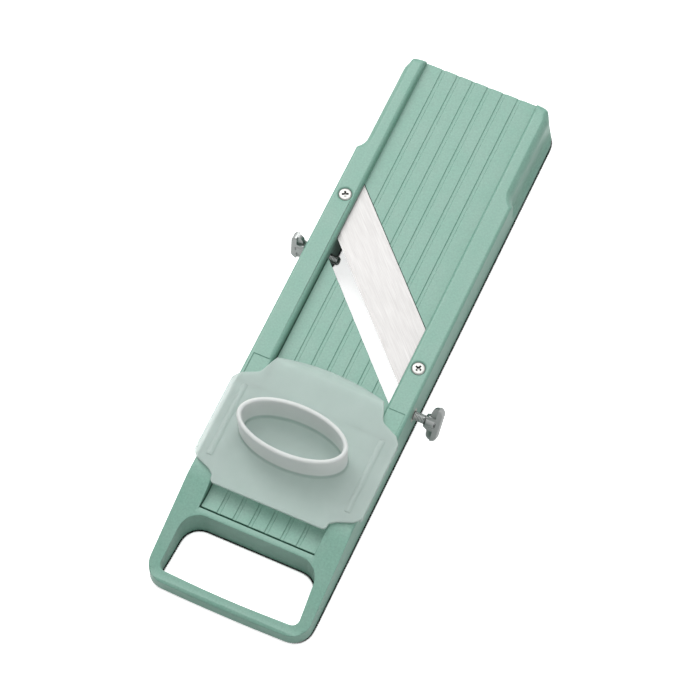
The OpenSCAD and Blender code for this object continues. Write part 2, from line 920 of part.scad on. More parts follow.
// Pan-head screw that holds an end of the strap to a boss in the rail
module bridge_screw(side) {
    head_h = 2;
    color(steel)
        translate([side * rail_mid, adjuster_y, 0])
            difference() {
                union() {
                    translate([0, 0, strap_low - head_h])
                        cylinder(h = head_h, r = strap_screw_d);
                    translate([0, 0, strap_low - over])
                        cylinder(h = strap_t + strap_screw_hold + over, r = strap_screw_d / 2);
                }
                for (a = [0, 90])
                    rotate([0, 0, 45 + a])
                        translate([0, 0, strap_low - head_h])
                            cube([1.2 * strap_screw_d, 0.27 * strap_screw_d, head_h],
                                center = true);
            }
}

module bridge_screw_left() {
    bridge_screw(-1);
}

module bridge_screw_right() {
    bridge_screw(1);
}

// Flanged nut riveted into the middle of the strap
module adjuster_nut() {
    color(brass)
        translate([0, adjuster_y, 0])
            difference() {
                union() {
                    translate([0, 0, strap_low - nut_flange_t])
                        cylinder(h = nut_flange_t, r = nut_flange_r);
                    translate([0, 0, strap_low - over])
                        cylinder(h = strap_t + over, r = nut_sleeve_r);
                }
                translate([0, 0, strap_low - nut_flange_t - over])
                    cylinder(h = nut_flange_t + strap_t + 2 * over,
                        r = adjuster_d / 2 + running);
            }
}

// Thumb screw: headed shank with a clip groove near its tip
module adjuster_screw() {
    recess = 0.2; // depth of the head below the knob's face
    head_low = knob_low + recess;
    chamfer = 0.8;
    color(steel)
        translate([0, adjuster_y, 0])
            difference() {
                union() {
                    translate([0, 0, head_low])
                        cylinder(h = knob_web_low - head_low, r = screw_head_r);
                    translate([0, 0, head_low])
                        cylinder(h = tip_z - chamfer - head_low, r = adjuster_d / 2);
                    translate([0, 0, tip_z - chamfer])
                        cylinder(h = chamfer, r1 = adjuster_d / 2, r2 = adjuster_d / 2 - chamfer);
                }
                translate([0, 0, clip_z - running])
                    difference() {
                        cylinder(h = clip_t + 2 * running, r = adjuster_d);
                        translate([0, 0, -over])
                            cylinder(h = clip_t + 2 * over, r = groove_r);
                    }
            }
}

// Fluted knob on the thumb screw's lower end, hollowed to clear the nut
module adjuster_knob() {
    color(mint)
        translate([0, adjuster_y, 0])
            difference() {
                translate([0, 0, knob_low])
                    cylinder(h = knob_h, r = knob_d / 2, $fn = 96);
                translate([0, 0, knob_low - over])
                    cylinder(h = knob_h + 2 * over, r = adjuster_d / 2 + running);
                translate([0, 0, knob_low - over])
                    cylinder(h = knob_web_low - knob_low + over, r = screw_head_r + seat_gap);
                translate([0, 0, knob_web_top])
                    cylinder(h = knob_h, r = nut_flange_r + 1);
                for (i = [0:knob_flutes - 1])
                    rotate([0, 0, i * 360 / knob_flutes])
                        translate([knob_d / 2 + 0.7, 0, knob_low - over])
                            cylinder(h = knob_h + 2 * over, r = 1.9, $fn = 32);
            }
}

// Open retaining clip that holds the thumb screw's tip in the feed plate's socket
module tip_clip() {
    color(steel)
        translate([0, adjuster_y, clip_z])
            difference() {
                cylinder(h = clip_t, r = clip_r);
                translate([0, 0, -over])
                    cylinder(h = clip_t + 2 * over, r = groove_r + 0.05);
                box([-groove_r * 0.8, 0, -over], [groove_r * 0.8, clip_r + over, clip_t + over]);
            }
}

// Plan of the finger guard: tongue front and back, wing over each rail
function guard_half() = [
    [tongue_w / 2 - 1, -guard_front - 4.5, 3],
    [tongue_w / 2 + 3.5, wing_near + 4, 4],
    [guard_x - 3, wing_near - 0.5, 3],
    [guard_x, wing_near - 4.5, 3],
    [guard_x, wing_far + 2, 2.5],
    [guard_x - 3, wing_far - 1.5, 2.5],
    [tongue_w / 2 + 4.5, wing_far - 5, 3],
    [tongue_w / 2 + 1.3, wing_far - 7.5, 2],
    [tongue_w / 2 + 1, guard_near, 2.5]];

// The same points mirrored, in reverse order, so the outline closes
function mirrored(pts) =
    [for (i = [len(pts) - 1:-1:0]) [-pts[i][0], pts[i][1], pts[i][2]]];

// Point number i of n round an oval of half axes a and b
function oval(a, b, i, n) = [a * cos(360 * i / n), b * sin(360 * i / n)];

// Grip ring: a wall with a round rim swept round an oval
module grip_ring() {
    n = 72;
    a = ring_a / 2;
    b = ring_b / 2;
    rim = ring_t / 2;
    // each station across the wall: [distance in from the outside, height]
    wall_line = concat(
        [[-0.6, -0.4 * guard_t], [-0.6, 0], [0, 1.2]],
        [for (k = [0:6]) [rim - rim * cos(30 * k) - ring_flare,
            ring_h - rim + rim * sin(30 * k)]],
        [[ring_t, 1.2], [ring_t + 0.6, 0], [ring_t + 0.6, -0.4 * guard_t]]);
    m = len(wall_line);
    pts = [for (i = [0:n - 1]) for (w = wall_line)
        let (p = oval(a - w[0], b - w[0], i, n)) [p[0], p[1], w[1]]];
    faces = [for (i = [0:n - 1]) for (j = [0:m - 1])
        let (i2 = (i + 1) % n, j2 = (j + 1) % m)
        each [[i * m + j, i * m + j2, i2 * m + j2], [i * m + j, i2 * m + j2, i2 * m + j]]];
    translate([-ring_shift, ring_y, guard_z])
        polyhedron(points = pts, faces = faces);
}

// Food spikes in two ovals below the guard
module spikes() {
    for (ring = [[0.30, 6], [0.72, 12]])
        for (i = [0:ring[1] - 1]) {
            p = oval(ring[0] * ring_a / 2, ring[0] * ring_b / 2, i + 0.5, ring[1]);
            translate([p[0] - ring_shift, ring_y + p[1], guard_low - spike_h])
                cylinder(h = spike_h + 0.2, r1 = 0.25, r2 = 1.1, $fn = 24);
        }
}

// Low rounded ridge along the top of the right wing
module wing_ridge() {
    r = 3;
    rise = 0.6;
    intersection() {
        translate([half_w - rail_w / 2, wing_near - 6, guard_z + rise - r])
            rotate([90, 0, 0])
                cylinder(h = wing_near - wing_far - 8, r = r);
        box([0, wing_far, guard_z - guard_t / 2], [guard_x, wing_near, guard_z + r]);
    }
}

// Sliding finger guard: plate, lips outside the rails, grip ring and spikes in one piece
module finger_guard() {
    lip_set = 1; // how far a lip stops short of its wing's end
    front_r = (tongue_w * tongue_w / 4 + front_bow * front_bow) / (2 * front_bow);
    lip_near = -guard_front - front_lip;
    past_front = -guard_front + 2 * front_bow; // the round front cuts the outline off before it
    color(milky)
        union() {
            intersection() {
                translate([0, 0, guard_low - lip_h - over])
                    linear_extrude(lip_h + guard_t + 2 * over)
                        intersection() {
                            polygon(rounded(concat(
                                guard_half(),
                                mirrored(guard_half()),
                                [[-tongue_w / 2 + 1, past_front, 1],
                                    [tongue_w / 2 - 1, past_front, 1]])));
                            translate([0, -guard_front - front_r])
                                circle(front_r, $fn = 256);
                        }
                union() {
                    box([-guard_x, guard_near, guard_low],
                        [guard_x, lip_near, guard_z]);
                    translate([-guard_x, 0, 0])
                        rotate([90, 0, 90])
                            linear_extrude(2 * guard_x)
                                polygon([
                                    [lip_near, guard_low],
                                    [lip_near, guard_z],
                                    [-guard_front, guard_z - front_drop],
                                    [-guard_front, guard_low - front_drop]]);
                    both_sides()
                        box([guard_x - lip_t, wing_far + lip_set, guard_low - lip_h],
                            [guard_x, wing_near - 4 * lip_set, guard_z]);
                }
            }
            both_sides()
                wing_ridge();
            grip_ring();
            spikes();
        }
}

frame();
feed_plate();
hinge_pin();
main_blade();
blade_screw_left();
blade_screw_right();
blade_nut_left();
blade_nut_right();
side_screw_left();
side_screw_right();
side_head_left();
side_head_right();
side_nut_left();
side_nut_right();
bridge_strap();
bridge_screw_left();
bridge_screw_right();
adjuster_nut();
adjuster_screw();
adjuster_knob();
tip_clip();
finger_guard();
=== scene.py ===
"""Looks of the hand mandoline slicer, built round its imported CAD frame."""

import json
import math

import bpy
from mathutils import Matrix, Vector
from mathutils.bvhtree import BVHTree


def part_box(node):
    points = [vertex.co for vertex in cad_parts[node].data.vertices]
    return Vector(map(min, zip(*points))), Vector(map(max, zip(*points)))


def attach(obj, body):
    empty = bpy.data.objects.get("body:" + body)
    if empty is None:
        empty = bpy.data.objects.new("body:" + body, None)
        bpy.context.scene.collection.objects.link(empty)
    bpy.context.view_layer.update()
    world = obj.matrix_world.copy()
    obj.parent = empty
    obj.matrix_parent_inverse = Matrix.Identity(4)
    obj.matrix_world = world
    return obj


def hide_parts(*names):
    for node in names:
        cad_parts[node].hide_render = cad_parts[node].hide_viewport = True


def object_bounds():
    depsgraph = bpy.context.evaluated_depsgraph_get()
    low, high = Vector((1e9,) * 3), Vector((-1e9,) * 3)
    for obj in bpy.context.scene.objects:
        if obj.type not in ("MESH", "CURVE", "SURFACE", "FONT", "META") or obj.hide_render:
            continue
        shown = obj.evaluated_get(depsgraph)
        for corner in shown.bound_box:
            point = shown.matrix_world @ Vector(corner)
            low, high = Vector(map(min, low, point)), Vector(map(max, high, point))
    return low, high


bl_info = {
    "name": "Mandoline Slicer",
    "version": (1, 0, 0),
    "blender": (4, 5, 0),
    "location": "View3D > Sidebar > Slicer",
    "description": "Dresses a mandoline slicer: moulded plastic, ground steel and hardware",
    "category": "Add Mesh",
}

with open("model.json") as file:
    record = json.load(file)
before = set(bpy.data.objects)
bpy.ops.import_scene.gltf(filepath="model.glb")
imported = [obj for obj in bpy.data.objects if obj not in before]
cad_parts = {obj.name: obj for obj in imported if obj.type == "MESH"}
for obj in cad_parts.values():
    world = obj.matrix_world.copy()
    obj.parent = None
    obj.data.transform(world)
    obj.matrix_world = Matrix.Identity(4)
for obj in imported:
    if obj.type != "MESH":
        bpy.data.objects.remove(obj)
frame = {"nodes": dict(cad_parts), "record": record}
CAD_LOW, CAD_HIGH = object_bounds()
NODES = frame["nodes"]
BODY_OF = {node: body for body, names in frame["record"]["behaviour"]["bodies"].items()
           for node in names}
SLOT_OF = {part["node"]: part["material_slot"] for part in frame["record"]["subparts"]}

MM = 0.001
SIDES = {"left": -1, "right": 1}
GUARD_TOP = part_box("frame")[1].z + 2.3 * MM  # top of the finger guard's plate
AIM = Vector((0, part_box("frame")[1].y - 167 * MM, 13 * MM))  # middle of the body
RELIEF = 0.02 * MM  # height of the grain and of the marks from working, as bumps draw them


# Colours and sizes

def linear(code):
    """The linear colour of an sRGB hex code such as #9CC0B2."""
    channels = [int(code[i:i + 2], 16) / 255 for i in (1, 3, 5)]
    return [c / 12.92 if c <= 0.04045 else ((c + 0.055) / 1.055) ** 2.4 for c in channels]


def colour(title, about, code):
    """A colour property whose default is an sRGB hex code."""
    return bpy.props.FloatVectorProperty(
        name=title, description=about, subtype="COLOR", size=3, min=0, max=1,
        default=linear(code))


def length(title, about, millimetres):
    """A length property whose default is given in millimetres."""
    return bpy.props.FloatProperty(
        name=title, description=about, subtype="DISTANCE", unit="LENGTH", min=0, precision=5,
        default=millimetres * MM)


def angle(title, about, degrees):
    """An angle property whose default is given in degrees."""
    return bpy.props.FloatProperty(
        name=title, description=about, subtype="ANGLE", unit="ROTATION",
        default=math.radians(degrees))


def power(title, about, watts):
    """A property for a lamp's power in watts."""
    return bpy.props.FloatProperty(
        name=title, description=about, subtype="POWER", unit="POWER", min=0, default=watts)


def number(title, about, value):
    """A property for a plain factor that is never negative."""
    return bpy.props.FloatProperty(name=title, description=about, default=value, min=0)


class SlicerColours(bpy.types.PropertyGroup):
    """Colours of the slicer's finishes."""

    mint: colour("Mint", "Body and feed plate, moulded in ABS", "#6B9E8C")
    mint_bloom: colour("Mint bloom", "Paler, warmer clouds in the moulded body", "#7DA294")
    milky: colour("Milky", "Finger guard, moulded in polypropylene", "#BFCEC9")
    milky_ring: colour("Milky ring", "Thicker, whiter wall of the guard's ring", "#D9DBDA")
    blade: colour("Blade", "Ground stainless steel of the blade", "#B1B0AF")
    blade_line: colour("Grinding line", "Darker lines left by the grinding wheel", "#9D9B9A")
    satin: colour("Satin steel", "Stainless blade screws", "#A8A8A5")
    zinc: colour("Zinc plate", "Zinc-plated strap, nuts and pins", "#C9CDCF")
    casting: colour("Casting", "Nickel-plated wing heads and side screws", "#999C9B")
    brass: colour("Plated brass", "Turned bushes and the riveted nut", "#A9A79C")


class SlicerSizes(bpy.types.PropertyGroup):
    """Sizes of the details that the frame leaves to this script."""

    mould_edge: length("Moulded edge", "Rounding along the moulded pieces' edges", 0.3)
    guard_edge: length("Guard edge", "Rounding along the finger guard's edges", 0.4)
    cast_edge: length("Cast edge", "Rounding along the wing heads' edges", 0.6)
    steel_edge: length("Steel edge", "Rounding along the stamped and turned edges", 0.15)
    grain: length("Grain", "Spacing of the spark-eroded grain, drawn coarse enough to show", 1.0)
    cloud: length("Cloud", "Size of the faint clouds in the moulded colour", 14.0)
    grind: length("Grinding lines", "Spacing of the grinding lines across the blade", 0.35)
    shine_through: number("Shine-through", "Share of light that each guard wall passes", 0.65)
    far_corner: length("Far corner", "Radius of the body's far corners at the top", 9)
    plan_corner: length("Plan corner", "Radius of the body's corners at the foot", 11)
    scoop_in: length("Scoop depth", "Depth of the finger scoops at the far end", 2.8)
    lead_in: length("Lead-in", "Width of the chamfer round the blade screws' heads", 0.7)
    wing_turn: angle("Left wing", "Turn of the left wing head past its solid", 78)
    web_in: length("Web", "Depth of the hollows beside a wing head's hub", 1.3)
    # painted shade: how far from a face the darkening of grooves and recesses reaches
    painted_crevice_shade: length("Crevice", "Reach of the darkening in grooves and recesses", 1.2)
    side_pitch: length("Side pitch", "Thread pitch of the side screws", 0.8)
    adjuster_pitch: length("Adjuster pitch", "Thread pitch of the thumb screw", 1.0)
    blade_pitch: length("Blade screw pitch", "Thread pitch of the blade screws", 0.7)
    side_thread: length("Side thread", "Depth of the side screws' thread", 0.18)
    adjuster_thread: length("Adjuster thread", "Depth of the thumb screw's thread", 0.35)
    blade_thread: length("Blade screw thread", "Depth of the blade screws' thread", 0.25)
    blade_screw_d: length("Blade screw", "Diameter of the blade screws' shanks", 4.0)
    adjuster_d: length("Thumb screw", "Diameter of the thumb screw's shank", 6.0)
    left_cross: angle("Left cross", "Turn of the left blade screw's cross recess", 26)
    right_cross: angle("Right cross", "Turn of the right blade screw's cross recess", 71)


class SlicerStage(bpy.types.PropertyGroup):
    """Floor, light and camera."""

    floor: colour("Floor", "Paper floor, as it lights the object", "#D9D9D9")
    floor_lift: number("Floor lift", "Light added to the floor as the eye sees it", 0.75)
    floor_gloss: number("Floor in gloss", "Light added to the floor where gloss shows it", 0.1)
    contact: length("Contact shadow", "Width of the dark line where the object stands", 2.8)
    room_light: number("Room light", "Strength of the even light from the room", 0.45)
    key_power: power("Key lamp", "Power of the lamp at the far left", 12)
    softbox_power: power("Softbox", "Power of the softbox above the far end", 17)
    fill_power: power("Fill lamp", "Power of the lamp on the right", 3)
    rise: angle("Camera height", "Angle of the camera above the floor", 64.707)
    swing: angle("Camera swing", "Turn of the camera to the right of the handle", 25.622)
    roll: angle("Camera roll", "Roll of the camera about its own axis", -1.189)
    distance: length("Camera distance", "Distance from the camera to its aim", 1777.3)
    lens: bpy.props.FloatProperty(
        name="Lens", description="Focal length of the lens", default=171.504,
        subtype="DISTANCE_CAMERA", unit="CAMERA", min=20)
    shift: bpy.props.FloatVectorProperty(
        name="Lens shift", description="Shift of the picture across and up", size=2,
        default=(-0.00841, -0.01234))


# Small tools

def colours():
    """The colours as they are set now."""
    return bpy.context.scene.slicer_colours


def sizes():
    """The sizes as they are set now."""
    return bpy.context.scene.slicer_sizes


def select_only(piece):
    """Makes one piece the only selected and the active one."""
    bpy.ops.object.select_all(action="DESELECT")
    piece.select_set(True)
    bpy.context.view_layer.objects.active = piece


def add_node(tree, kind, values=None, links=None, **settings):
    """Adds a shader node with its options, its sockets' values and its sockets' sources."""
    node = tree.nodes.new("ShaderNode" + kind)
    for name, value in settings.items():
        setattr(node, name, value)
    for socket, value in (values or {}).items():
        node.inputs[socket].default_value = value
    for socket, source in (links or {}).items():
        tree.links.new(source, node.inputs[socket])
    return node


def new_material(name):
    """An empty node material, its tree and its output node."""
    material = bpy.data.materials.new(name)
    material.use_nodes = True
    tree = material.node_tree
    tree.nodes.clear()
    return material, tree, add_node(tree, "OutputMaterial")


def rgba(tone):
    """A colour with full alpha, as a colour socket takes it."""
    return (*tone, 1.0)


def apart(spacing):
    """The scale of a noise whose features lie about that far apart."""
    return 1 / spacing


# Finishes

def painted_crevice_shade(tree, darkest):
    """Painted shade: one on open faces, falling to its darkest in grooves, where shade gathers.
    """
    shut_in, open_face = 0.35, 0.8
    seen = add_node(tree, "AmbientOcclusion", {"Distance": sizes().painted_crevice_shade})
    deep = add_node(tree, "MapRange", {"From Min": shut_in, "From Max": open_face,
                                       "To Min": darkest}, {"Value": seen.outputs["AO"]})
    return deep.outputs["Result"]


def moulded_abs():
    """Mint ABS from a spark-eroded mould: an even, fine grain with a soft, wide sheen."""
    tones = colours()
    contrast = 0.09  # how much paler and darker the grain's specks are
    smooth, rough = 0.34, 0.5
    material, tree, output = new_material("Mint ABS, spark-eroded")
    place = add_node(tree, "TexCoord").outputs["Object"]
    cloud = add_node(tree, "TexNoise", {"Scale": apart(sizes().cloud), "Detail": 3.0},
                     {"Vector": place})
    grain = add_node(tree, "TexNoise", {"Scale": apart(sizes().grain), "Detail": 2.0},
                     {"Vector": place})
    bloom = add_node(tree, "Mix", {"A": rgba(tones.mint), "B": rgba(tones.mint_bloom)},
                     {"Factor": cloud.outputs["Fac"]}, data_type="RGBA")
    speck = add_node(tree, "MapRange", {"From Min": 0.3, "From Max": 0.7,
                                        "To Min": 1 - contrast, "To Max": 1 + contrast},
                     {"Value": grain.outputs["Fac"]})
    grainy = add_node(tree, "VectorMath", links={0: bloom.outputs["Result"],
                                                 1: speck.outputs["Result"]},
                      operation="MULTIPLY")
    # painted shade: the grainy colour is darkened in grooves and recesses
    tone = add_node(tree, "VectorMath", links={0: grainy.outputs["Vector"],
                                               1: painted_crevice_shade(tree, darkest=0.6)},
                    operation="MULTIPLY")
    sheen = add_node(tree, "MapRange", {"To Min": smooth, "To Max": rough},
                     {"Value": grain.outputs["Fac"]})
    bump = add_node(tree, "Bump", {"Strength": 0.25, "Distance": RELIEF},
                    {"Height": grain.outputs["Fac"]})
    surface = add_node(tree, "BsdfPrincipled", {"IOR": 1.53, "Specular IOR Level": 0.6},
                       {"Base Color": tone.outputs["Vector"],
                        "Roughness": sheen.outputs["Result"], "Normal": bump.outputs["Normal"]})
    tree.links.new(surface.outputs["BSDF"], output.inputs["Surface"])
    return material


def milky_polypropylene():
    """Milky polypropylene: the wall scatters light, and what lies close below shows dimly.

    The front lip, which lies lowest, lets most be seen through it, the level plate less, and
    the ring next to nothing, because its wall is seen along its height.
    """
    lip_through, plate_through, ring_share = 0.52, 0.38, 0.12
    lip_top, plate_low = GUARD_TOP - 0.7 * MM, GUARD_TOP - 0.3 * MM
    ring_low, ring_high = GUARD_TOP + 1.2 * MM, GUARD_TOP + 3.5 * MM  # where its foot ends
    mottle = 0.05  # how much more or less the cloudier parts pass
    smooth, rough = 0.36, 0.5
    material, tree, output = new_material("Milky polypropylene, moulded")
    place = add_node(tree, "TexCoord").outputs["Object"]
    grain = add_node(tree, "TexNoise", {"Scale": apart(sizes().grain), "Detail": 2.0},
                     {"Vector": place})
    cloud = add_node(tree, "TexNoise", {"Scale": apart(sizes().cloud), "Detail": 2.0},
                     {"Vector": place})
    sheen = add_node(tree, "MapRange", {"To Min": smooth, "To Max": rough},
                     {"Value": grain.outputs["Fac"]})
    bump = add_node(tree, "Bump", {"Strength": 0.15, "Distance": RELIEF},
                    {"Height": grain.outputs["Fac"]})
    milk = add_node(tree, "MapRange", {"To Min": -mottle, "To Max": mottle},
                    {"Value": cloud.outputs["Fac"]})
    height = add_node(tree, "SeparateXYZ", links={0: place}).outputs["Z"]
    plate = add_node(tree, "MapRange", {"From Min": lip_top, "From Max": plate_low,
                                        "To Min": lip_through, "To Max": plate_through},
                     {"Value": height})
    ring = add_node(tree, "MapRange", {"From Min": ring_low, "From Max": ring_high,
                                       "To Min": 1.0, "To Max": ring_share},
                    {"Value": height})
    thin = add_node(tree, "Math", links={0: plate.outputs["Result"],
                                         1: ring.outputs["Result"]}, operation="MULTIPLY")
    through = add_node(tree, "Math", links={0: thin.outputs["Value"],
                                            1: milk.outputs["Result"]}, operation="ADD",
                       use_clamp=True)
    tone = add_node(tree, "Mix", {"A": rgba(colours().milky_ring),
                                  "B": rgba(colours().milky)},
                    {"Factor": ring.outputs["Result"]}, data_type="RGBA")
    body = add_node(tree, "BsdfPrincipled",
                    {"IOR": 1.49, "Specular IOR Level": 0.4, "Subsurface Weight": 0.8,
                     "Subsurface Radius": (1, 1, 1), "Subsurface Scale": 4 * MM},
                    {"Base Color": tone.outputs["Result"],
                     "Roughness": sheen.outputs["Result"], "Normal": bump.outputs["Normal"]})
    clear = add_node(tree, "BsdfTransparent")
    shadow = add_node(tree, "Math", {1: sizes().shine_through},
                      {0: add_node(tree, "LightPath").outputs["Is Shadow Ray"]},
                      operation="MULTIPLY")
    open_wall = add_node(tree, "Math", links={0: through.outputs["Value"],
                                              1: shadow.outputs["Value"]},
                         operation="MAXIMUM")
    wall = add_node(tree, "MixShader", links={0: open_wall.outputs["Value"],
                                              1: body.outputs["BSDF"],
                                              2: clear.outputs["BSDF"]})
    tree.links.new(wall.outputs["Shader"], output.inputs["Surface"])
    return material


def metal(name, tone, rough, strength, spacing, stretch=(1, 1, 1), turn=0.0, line=None):
    """A bare or plated metal, whose marks are stretched along the way it was worked.

    The marks lie a spacing apart and vary the roughness. Where there is a line tone, their
    colour runs towards it. Shade is painted into a recess: its colour is darkened there.
    """
    uneven = 0.08  # how far the roughness varies either way
    material, tree, output = new_material(name)
    place = add_node(tree, "TexCoord").outputs["Object"]
    along = add_node(tree, "Mapping", {"Rotation": (0, 0, turn), "Scale": stretch},
                     {"Vector": place}, vector_type="TEXTURE")
    marks = add_node(tree, "TexNoise", {"Scale": apart(spacing), "Detail": 4.0},
                     {"Vector": along.outputs["Vector"]})
    lined = add_node(tree, "Mix", {"A": rgba(tone), "B": rgba(line or tone)},
                     {"Factor": marks.outputs["Fac"]}, data_type="RGBA")
    # painted shade: the colour is darkened in recesses, such as a screw's cross and thread
    shaded = add_node(tree, "VectorMath", links={0: lined.outputs["Result"],
                                                 1: painted_crevice_shade(tree, darkest=0.12)},
                      operation="MULTIPLY")
    sheen = add_node(tree, "MapRange", {"To Min": rough - uneven, "To Max": rough + uneven},
                     {"Value": marks.outputs["Fac"]})
    bump = add_node(tree, "Bump", {"Strength": strength, "Distance": RELIEF},
                    {"Height": marks.outputs["Fac"]})
    surface = add_node(tree, "BsdfPrincipled", {"Metallic": 1.0},
                       {"Base Color": shaded.outputs["Vector"],
                        "Roughness": sheen.outputs["Result"], "Normal": bump.outputs["Normal"]})
    tree.links.new(surface.outputs["BSDF"], output.inputs["Surface"])
    return material


def ground_stainless():
    """Stainless strip ground along its length: long fine lines and a bright, soft gloss."""
    tones = colours()
    return metal("Stainless steel, ground", tones.blade, rough=0.55, strength=0.2,
                 spacing=sizes().grind, stretch=(30, 1, 1), turn=math.radians(-45),
                 line=tones.blade_line)


def satin_stainless():
    """Tumbled stainless screws: an even satin, pale on the head, and dark in the cross from cast
    shade and painted shade.
    """
    return metal("Stainless steel, tumbled", colours().satin, rough=0.45, strength=0.1,
                 spacing=0.6 * MM)


def zinc_plate():
    """Zinc-plated mild steel: bright, slightly blue, with faint clouds."""
    return metal("Steel, zinc-plated", colours().zinc, rough=0.34, strength=0.1,
                 spacing=1.5 * MM)


def nickel_casting():
    """Nickel-plated zinc casting: grey, a little uneven from the die."""
    return metal("Zinc casting, nickel-plated", colours().casting, rough=0.36, strength=0.4,
                 spacing=1.2 * MM)


def nickel_turned():
    """Nickel-plated turned steel: fine lines round the shank."""
    return metal("Steel, turned and nickel-plated", colours().casting, rough=0.28,
                 strength=0.15, spacing=0.5 * MM, stretch=(1, 5, 5))


def turned_brass():
    """Brass turned on a lathe and thinly nickel-plated: grey with a warm cast."""
    return metal("Brass, turned and plated", colours().brass, rough=0.3, strength=0.15,
                 spacing=0.5 * MM)


# What makes each material slot's finish, and the finishes made so far
FINISHES = {
    "body_plastic": moulded_abs,
    "guard_plastic": milky_polypropylene,
    "blade_steel": ground_stainless,
    "screw_steel": satin_stainless,
    "steel": zinc_plate,
    "side_screw_metal": nickel_turned,
    "cast_metal": nickel_casting,
    "bush_brass": turned_brass,
}
made_finishes = {}


def finish_of(slot):
    """The material of a slot, made once."""
    if slot not in made_finishes:
        made_finishes[slot] = FINISHES[slot]()
    return made_finishes[slot]


def coat(piece, slot):
    """Gives a piece the one material of its slot."""
    piece.data.materials.clear()
    piece.data.materials.append(finish_of(slot))


# Placing and shaping pieces

def place_piece(piece, name, *nodes):
    """Names a finished piece, coats it, and lets it stand for its CAD nodes on their body."""
    piece.name = name
    piece.data.name = name
    coat(piece, SLOT_OF[nodes[0]])
    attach(piece, BODY_OF[nodes[0]])
    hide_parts(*nodes)
    return piece


def copy_of(node):
    """A copy of a CAD node's mesh with its doubles merged and its flat faces joined."""
    piece = bpy.data.objects.new(node, NODES[node].data.copy())
    bpy.context.scene.collection.objects.link(piece)
    select_only(piece)
    bpy.ops.object.mode_set(mode="EDIT")
    bpy.ops.mesh.select_all(action="SELECT")
    bpy.ops.mesh.remove_doubles(threshold=0.002 * MM)
    bpy.ops.mesh.dissolve_limited(angle_limit=math.radians(0.3))
    bpy.ops.object.mode_set(mode="OBJECT")
    return piece


def round_edges(piece, width, segments=2, sharper_than=35):
    """Rounds the edges that are sharper than an angle in degrees, then shades the piece."""
    select_only(piece)
    plain = BVHTree.FromPolygons([v.co.copy() for v in piece.data.vertices],
                                 [list(face.vertices) for face in piece.data.polygons])
    low, high = [[limit(v.co[axis] for v in piece.data.vertices) for axis in range(3)]
                 for limit in (min, max)]
    bevel = piece.modifiers.new("Rounded edges", "BEVEL")
    bevel.width = width
    bevel.segments = segments
    bevel.limit_method = "ANGLE"
    bevel.angle_limit = math.radians(sharper_than)
    bevel.use_clamp_overlap = False
    bpy.ops.object.modifier_apply(modifier=bevel.name)
    pull_in(piece, plain, width)
    for vertex in piece.data.vertices:  # rounding leaves a piece no bigger than it was
        vertex.co = [min(max(vertex.co[axis], low[axis]), high[axis]) for axis in range(3)]
    shade(piece)
    return piece


def pull_in(piece, plain, width):
    """Brings a mitre that shot out back to the plain surface, or far ones to their neighbours.

    A true rounding stays within 0.6 of its width of the plain surface.
    """
    away = {}
    for vertex in piece.data.vertices:
        near, _, _, gap = plain.find_nearest(vertex.co)
        if gap > 0.6 * width:
            away[vertex.index] = (near, gap)
    beside = {index: [] for index in away}
    for edge in piece.data.edges:
        for one, other in (edge.vertices, reversed(edge.vertices)):
            if one in away and other not in away:
                beside[one].append(piece.data.vertices[other].co.copy())
    for index, (near, gap) in away.items():
        around = beside[index]
        if gap > 2 * width and around:
            near = sum(around, Vector()) / len(around)
        piece.data.vertices[index].co = near


def shade(piece, sharp=40):
    """Shades a piece smooth up to an angle in degrees, with normals that its large faces lead."""
    select_only(piece)
    bpy.ops.object.shade_smooth_by_angle(angle=math.radians(sharp))
    even = piece.modifiers.new("Even shading", "WEIGHTED_NORMAL")
    even.keep_sharp = True
    bpy.ops.object.modifier_apply(modifier=even.name)


def soft_copy(node, name, width, segments=2, sharper_than=35):
    """A CAD node with its edges rounded, standing for that node."""
    return place_piece(round_edges(copy_of(node), width, segments, sharper_than), name, node)


def turned(profile, segments=48, pitch=0.0, depth=0.0, thread=(0.0, 0.0)):
    """A turned piece along Z: a grid wrapped round its axis, a row for each (height, radius).

    Between the two heights in thread, a right-hand thread is cut to its depth.
    """
    rows_per_pitch = 6
    rows = []
    for (z0, r0), (z1, r1) in zip(profile, profile[1:]):
        cut = pitch and thread[0] < z1 and z0 < thread[1]
        steps = max(1, math.ceil(rows_per_pitch * abs(z1 - z0) / pitch)) if cut else 1
        rows += [(z0 + (z1 - z0) * k / steps, r0 + (r1 - r0) * k / steps)
                 for k in range(steps)]
    rows.append(profile[-1])
    bpy.ops.object.select_all(action="DESELECT")
    bpy.ops.mesh.primitive_grid_add(x_subdivisions=segments, y_subdivisions=len(rows) - 1,
                                    size=1)
    piece = bpy.context.object
    for vertex in piece.data.vertices:
        z, r = rows[round((vertex.co.y + 0.5) * (len(rows) - 1))]
        turn = vertex.co.x + 0.5
        if pitch and thread[0] <= z <= thread[1]:
            wave = abs(2 * ((z / pitch - turn) % 1) - 1)
            fade = min(1, (z - thread[0]) / pitch, (thread[1] - z) / pitch)
            r -= depth * wave * fade
        vertex.co = (r * math.cos(math.tau * turn), r * math.sin(math.tau * turn), z)
    bpy.ops.object.mode_set(mode="EDIT")
    bpy.ops.mesh.select_all(action="SELECT")
    bpy.ops.mesh.remove_doubles(threshold=0.001 * MM)
    bpy.ops.mesh.normals_make_consistent(inside=False)
    bpy.ops.object.mode_set(mode="OBJECT")
    bpy.ops.object.shade_smooth_by_angle(angle=math.radians(35))
    return piece


def cut_with(piece, cutter):
    """Cuts one closed piece out of another and removes the cutter."""
    select_only(piece)
    cut = piece.modifiers.new("Cut", "BOOLEAN")
    cut.operation = "DIFFERENCE"
    cut.solver = "EXACT"
    cut.object = cutter
    bpy.ops.object.modifier_apply(modifier=cut.name)
    bpy.data.objects.remove(cutter)


